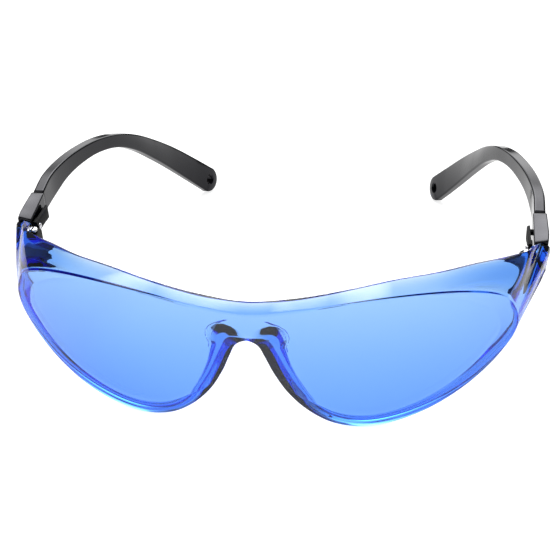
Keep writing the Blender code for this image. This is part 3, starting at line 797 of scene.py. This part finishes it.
link = upright(hull(circle(HINGE_PLACE, KNUCKLE_RADIUS) + LINK_ROOT), KNUCKLE_Z)
bore_ends = (KNUCKLE_Z[0] - BORE_PAST, KNUCKLE_Z[1] + BORE_PAST)
bore = upright(circle(HINGE_PLACE, BORE_RADIUS), bore_ends)
cavity = block(TONGUE_LOW - CLEARANCE, TONGUE_HIGH + CLEARANCE)
window = block(TOOTH_LOW - CLEARANCE, TOOTH_HIGH + CLEARANCE)
rivet_ring = circle(RIVET_PLACE, RIVET_HOLE_RADIUS)
rivet_hole = [np.array([(x, y, z) for y, z in rivet_ring]) for x in RIVET_HOLE_X]
for word, side in SIDES:
    name = f"{word}_sleeve"
    steps = [("UNION", solid("link", link, side, black_nylon))]
    for cut in (bore, cavity, window, rivet_hole):
        steps.append(("DIFFERENCE", solid("cut", cut, side, black_nylon)))
    mesh = carved(solid(name, sleeve_loops(), side, black_nylon), steps)
    add_piece(name, mesh, f"{word}_temple", [f"{word}_temple_sleeve"])

# Length latches.
# A thin spring leaf along the inside of each sleeve, moulded in black nylon and left matt. It is riveted
# at the front, with a thumb pad and a tooth that drops through the sleeve wall into the arm's tongue.
LATCH_EDGE = 0.12
LATCH_FLAT = math.radians(2.0)


def eased_copy(node, name, edge, finish):
    """A copy of a CAD node's mesh with its corners rounded."""
    bm = bmesh.new()
    bm.from_mesh(frame["nodes"][node].data)
    bmesh.ops.remove_doubles(bm, verts=bm.verts, dist=1e-6)
    bmesh.ops.dissolve_limit(bm, angle_limit=LATCH_FLAT, verts=bm.verts, edges=bm.edges)
    corners = [e for e in bm.edges if e.is_manifold and e.calc_face_angle() > CREASE]
    bmesh.ops.bevel(
        bm,
        geom=corners,
        offset=edge * MM,
        segments=2,
        profile=0.5,
        clamp_overlap=True,
        affect="EDGES",
    )
    bmesh.ops.recalc_face_normals(bm, faces=bm.faces)
    mesh = bpy.data.meshes.new(name)
    bm.to_mesh(mesh)
    bm.free()
    mesh.shade_smooth()
    mesh.set_sharp_from_angle(angle=CREASE)
    mesh.materials.append(finish)
    return mesh


for word, side in SIDES:
    name = f"{word}_latch"
    mesh = eased_copy(f"{word}_length_latch", name, LATCH_EDGE, matt_nylon)
    add_piece(name, mesh, f"{word}_temple", [f"{word}_length_latch"])

# Latch rivets.
# A small nickel-plated steel rivet that holds each leaf to its sleeve, turned, with a domed head on the
# inside and its shank set in the sleeve.
# The profile is (radius, distance from the middle of the glasses).
RIVET_PROFILE = [
    (0.30, 66.38),
    (0.62, 66.43),
    (0.80, 66.56),
    (0.85, 66.74),
    (0.85, 66.79),
    (0.50, 66.80),
    (0.50, 70.70),
]
rivet_y, rivet_z = RIVET_PLACE
for word, side in SIDES:
    rivet = turned_pins(
        f"{word}_rivet",
        RIVET_PROFILE,
        {
            "Sides": 32,
            "Count": 1,
            "First": Vector(at_rest((0.0, END_Y + rivet_y, rivet_z))),
            "Step": (0.0, 0.0, 0.0),
            "Turn": (0.0, side * math.radians(90.0), 0.0),
            "Slotted": False,
            "Finish": nickel_steel,
        },
    )
    add_piece(f"{word}_rivet", rivet, f"{word}_temple", [f"{word}_latch_rivet"])

# Temple arms.
# The rear half of each temple: a solid black nylon bar, moulded glossy, swept down behind the ear and
# widening to a rounded tip with a cord hole. Its tongue slides in the sleeve.
SEAM = np.array([70.35, 13.3, -0.65])
# Path from the seam as (dx, dy, dz, height).
ARM_PATH = [
    (0.0, 0.0, 0.0, 6.3),
    (0.0, 8.7, 0.7, 7.2),
    (-1.2, 17.7, 1.5, 6.0),
    (-3.2, 26.7, 1.4, 5.1),
    (-6.0, 36.7, 0.2, 4.5),
    (-9.1, 46.7, -2.9, 4.4),
    (-12.1, 56.7, -8.4, 5.2),
    (-15.1, 66.7, -15.7, 6.6),
    (-18.8, 76.7, -24.1, 7.8),
    (-23.6, 85.7, -33.2, 8.5),
    (-29.7, 94.2, -43.0, 9.0),
]
ARM_THICKNESS = 3.1
ARM_CORNER = 0.5
# Behind the ear the arm leans outward at its top edge, and its sides are crowned. Both come in over
# this span of its length.
ARM_CROWN = 0.5
ARM_LEAN = math.radians(15.0)
LEAN_START = 0.3
LEAN_SPAN = 0.35
# The front end is drawn in like a sleeve's, and the tip is half round and a little thinner.
ARM_END_EDGE = 0.35
TIP_TURNS = np.radians(np.linspace(4.0, 80.0, 12))
TIP_THINNING = 0.5
TIP_CORNER_SHARE = 0.4
ARM_STEPS = 200
SIDE_STEPS = 7
CORD_HOLE_INSET = 4.7
# The cord hole, as (distance from the arm's middle, radius): it flares at both faces.
CORD_HOLE = ((-3.0, 1.9), (-1.65, 1.9), (-1.3, 1.5), (1.3, 1.5), (1.65, 1.9), (3.0, 1.9))
SLIDE_TRAVEL = 4.0


def arm_section(centre, up, across, height, thickness, corner, crown):
    """One loop of the arm: a box with round corners and crowned sides, set across its path."""
    u, v = 0.5 * thickness, 0.5 * height
    turns = np.split(round_corners([(-u, -v), (u, -v), (u, v), (-u, v)], corner), 4)
    steps = np.linspace(0.0, 1.0, SIDE_STEPS + 2)[1:-1, None]
    outer = turns[1][-1] + (turns[2][0] - turns[1][-1]) * steps
    inner = turns[3][-1] + (turns[0][0] - turns[3][-1]) * steps
    outline = np.concatenate([turns[0], turns[1], outer, turns[2], turns[3], inner])
    outline[:, 0] *= 1.0 + crown / u * (1.0 - (outline[:, 1] / v) ** 2)
    return centre + outline[:, :1] * across + outline[:, 1:] * up


def arm_loops():
    """Loops from the seam to the tip, then the middle of the cord hole and the directions there."""
    path = np.array(ARM_PATH)
    path[:, :3] += SEAM
    before, after = 2 * path[0] - path[1], 2 * path[-1] - path[-2]
    samples = even_samples([before, *path, after], [0, 1, 2], ARM_STEPS + 1)
    centres, heights = samples[:, :3], samples[:, 3]
    tangents = np.gradient(centres, axis=0)
    tangents[0] = (0.0, 1.0, 0.0)
    tangents /= np.linalg.norm(tangents, axis=1)[:, None]
    across = np.cross(tangents, (0.0, 0.0, 1.0))
    across /= np.linalg.norm(across, axis=1)[:, None]
    up = np.cross(across, tangents)
    share = np.linspace(0.0, 1.0, ARM_STEPS + 1)
    ease = np.clip((share - LEAN_START) / LEAN_SPAN, 0.0, 1.0)
    ease = (ease * ease * (3.0 - 2.0 * ease))[:, None]
    lean = ARM_LEAN * ease
    across, up = across * np.cos(lean) - up * np.sin(lean), up * np.cos(lean) + across * np.sin(lean)
    crowns = ARM_CROWN * ease[:, 0]
    length = np.linalg.norm(np.diff(centres, axis=0), axis=1).sum()
    to_tip = length * (1.0 - np.arange(ARM_STEPS + 1) / ARM_STEPS)
    loops = []
    for turn in EDGE_TURNS[:-1]:
        inset = ARM_END_EDGE * (1 - math.sin(turn))
        centre = centres[0] + tangents[0] * ARM_END_EDGE * (1 - math.cos(turn))
        height, thickness = heights[0] - 2 * inset, ARM_THICKNESS - 2 * inset
        corner = ARM_CORNER - EDGE_TIGHTEN * inset
        loops.append(arm_section(centre, up[0], across[0], height, thickness, corner, 0.0))
    tip_reach = 0.5 * heights[-1]
    for i in range(1, ARM_STEPS + 1):
        if to_tip[i] > tip_reach:
            thickness = ARM_THICKNESS - crowns[i]
            loops.append(
                arm_section(
                    centres[i], up[i], across[i], heights[i], thickness, ARM_CORNER, crowns[i]
                )
            )
    for turn in TIP_TURNS:
        centre = centres[-1] - tangents[-1] * tip_reach * (1.0 - math.sin(turn))
        height = heights[-1] * math.cos(turn)
        thickness = ARM_THICKNESS - ARM_CROWN - TIP_THINNING * (1 - math.cos(turn))
        corner = min(ARM_CORNER, TIP_CORNER_SHARE * height)
        crown = ARM_CROWN * math.cos(turn)
        loops.append(arm_section(centre, up[-1], across[-1], height, thickness, corner, crown))
    return loops, centres[-1] - tangents[-1] * CORD_HOLE_INSET, across[-1], up[-1], tangents[-1]


loops, middle, across, up, along = arm_loops()
cord_hole = []
for reach, radius in CORD_HOLE:
    ring = np.array([up * u + along * v for u, v in circle((0.0, 0.0), radius)])
    cord_hole.append(middle + across * reach + ring)
tongue = block(TONGUE_LOW, TONGUE_HIGH)
tooth_slot = block(TOOTH_LOW - CLEARANCE - (0.0, SLIDE_TRAVEL, 0.0), TOOTH_HIGH + CLEARANCE)
for word, side in SIDES:
    name = f"{word}_arm"
    steps = [("UNION", solid("tongue", tongue, side, black_nylon))]
    for cut in (tooth_slot, cord_hole):
        steps.append(("DIFFERENCE", solid("cut", cut, side, black_nylon)))
    mesh = carved(solid(name, loops, side, black_nylon), steps)
    add_piece(name, mesh, f"{word}_arm", [f"{word}_temple_arm"])

# Studio.
# A white paper sweep under four softboxes, as for a catalogue picture: two above the front for the
# brow's shine and two behind for the arms'. Seen directly, in gloss or through the lens, it is white.
# The paper lies just below the glasses. PAPER_LIFT is its glow wherever it is seen, and DIRECT_LIFT is
# added where the camera sees it itself.
FLOOR_HALF = 4.0
FLOOR_DROP = 0.0002
PAPER_LIFT = 0.72
DIRECT_LIFT = 0.12
floor_mesh = bpy.data.meshes.new("floor")
corners = [(x * FLOOR_HALF, y * FLOOR_HALF, 0.0) for x, y in ((-1, -1), (1, -1), (1, 1), (-1, 1))]
floor_mesh.from_pydata(corners, [], [(0, 1, 2, 3)])
floor = bpy.data.objects.new("floor", floor_mesh)
bpy.context.scene.collection.objects.link(floor)
floor.location.z = -FLOOR_DROP

paper, tree = new_material("white paper sweep")
seen = add_node(tree, "ShaderNodeLightPath").outputs
either = add_node(
    tree,
    "ShaderNodeMath",
    {0: seen["Is Camera Ray"], 1: seen["Is Glossy Ray"]},
    operation="MAXIMUM",
)
any_of = add_node(
    tree,
    "ShaderNodeMath",
    {0: either.outputs[0], 1: seen["Is Transmission Ray"]},
    operation="MAXIMUM",
)
direct = add_node(
    tree,
    "ShaderNodeMath",
    {0: seen["Is Camera Ray"], 1: DIRECT_LIFT},
    operation="MULTIPLY",
)
lift = add_node(
    tree,
    "ShaderNodeMath",
    {0: any_of.outputs[0], 1: PAPER_LIFT, 2: direct.outputs[0]},
    operation="MULTIPLY_ADD",
)
matte = add_node(tree, "ShaderNodeBsdfDiffuse", {"Color": linear("#BEBEBE")})
glow = add_node(tree, "ShaderNodeEmission", {"Strength": lift.outputs[0]})
both = add_node(tree, "ShaderNodeAddShader", {0: matte.outputs["BSDF"], 1: glow.outputs["Emission"]})
add_node(tree, "ShaderNodeOutputMaterial", {"Surface": both.outputs["Shader"]})
floor_mesh.materials.append(paper)

# The air of the room is dim, and brighter where it is seen through the lens.
ROOM_DIM = 0.12
ROOM_THROUGH_LENS = 0.6
world = bpy.data.worlds.new("studio")
world.use_nodes = True
bpy.context.scene.world = world
tree = world.node_tree
tree.nodes.clear()
through = add_node(tree, "ShaderNodeLightPath").outputs["Is Transmission Ray"]
air = add_node(
    tree,
    "ShaderNodeMapRange",
    {"Value": through, "To Min": ROOM_DIM, "To Max": ROOM_THROUGH_LENS},
)
sky = add_node(tree, "ShaderNodeBackground", {"Strength": air.outputs["Result"]})
add_node(tree, "ShaderNodeOutputWorld", {"Surface": sky.outputs["Background"]})

# A softbox is brightest in its middle and fades to its edges. This keeps its whole light the same.
MIDDLE_GAIN = 36.0


def softbox(name, place, size, radiance):
    """A soft-edged rectangular area light of the given mean brightness, facing the glasses."""
    light = bpy.data.lights.new(name, "AREA")
    light.shape = "RECTANGLE"
    light.size, light.size_y = size
    light.energy = radiance * math.pi * size[0] * size[1]
    light.use_nodes = True
    tree = light.node_tree
    across = add_node(tree, "ShaderNodeNewGeometry").outputs["Parametric"]
    sides = add_node(tree, "ShaderNodeSeparateXYZ", {"Vector": across})
    bright = []
    for axis in ("X", "Y"):
        rest = add_node(tree, "ShaderNodeMath", {0: 1.0, 1: sides.outputs[axis]}, operation="SUBTRACT")
        rise = add_node(
            tree,
            "ShaderNodeMath",
            {0: sides.outputs[axis], 1: rest.outputs[0]},
            operation="MULTIPLY",
        )
        bright.append(rise.outputs[0])
    shape = add_node(tree, "ShaderNodeMath", {0: bright[0], 1: bright[1]}, operation="MULTIPLY")
    level = add_node(
        tree,
        "ShaderNodeMath",
        {0: shape.outputs[0], 1: MIDDLE_GAIN},
        operation="MULTIPLY",
    )
    tree.links.new(level.outputs[0], tree.nodes["Emission"].inputs["Strength"])
    made = bpy.data.objects.new(name, light)
    made.location = place
    made.rotation_euler = (-Vector(place)).to_track_quat("-Z", "Y").to_euler()
    bpy.context.scene.collection.objects.link(made)


softbox("near_softbox", (0.06, -0.25, 1.3), (0.6, 0.75), 2.6)
softbox("far_softbox", (-0.6, -0.25, 1.3), (0.5, 0.75), 2.6)
softbox("rear_softbox", (-0.16, 0.99, 1.25), (1.3, 0.75), 4.8)
softbox("back_softbox", (0.0, 1.5, 0.78), (2.4, 1.1), 1.5)

# Camera.
# It stands where the picture was taken from: in front of the lens, above it and a little to the
# viewer's right. Its place and directions are measured from the glasses as worn.
HALF_FRAME_PIXELS = 280.0
FOCAL_PIXELS = 1115.4433
VIEW_PLACE = (44.03, -254.62, 152.92)
VIEW_RIGHT = Vector((0.98895, 0.14415, -0.03471))
VIEW_BACK = Vector((0.13966, -0.82696, 0.54464))
VIEW_UP = VIEW_BACK.cross(VIEW_RIGHT)
camera_data = bpy.data.cameras.new("camera")
camera_data.sensor_fit = "HORIZONTAL"
camera_data.angle = 2.0 * math.atan(HALF_FRAME_PIXELS / FOCAL_PIXELS)
camera_data.clip_start = 0.01
camera = bpy.data.objects.new("camera", camera_data)
bpy.context.scene.collection.objects.link(camera)
directions = [rest_turn @ direction for direction in (VIEW_RIGHT, VIEW_UP, VIEW_BACK)]
view = Matrix(directions).transposed().to_4x4()
view.translation = Vector(at_rest(VIEW_PLACE))
camera.matrix_world = view
bpy.context.scene.camera = camera

bpy.context.scene.view_settings.view_transform = "Standard"
# Light crosses many walls of the clear shield before it comes out.
bpy.context.scene.cycles.max_bounces = 40
bpy.context.scene.cycles.transmission_bounces = 40
bpy.context.scene.cycles.glossy_bounces = 12
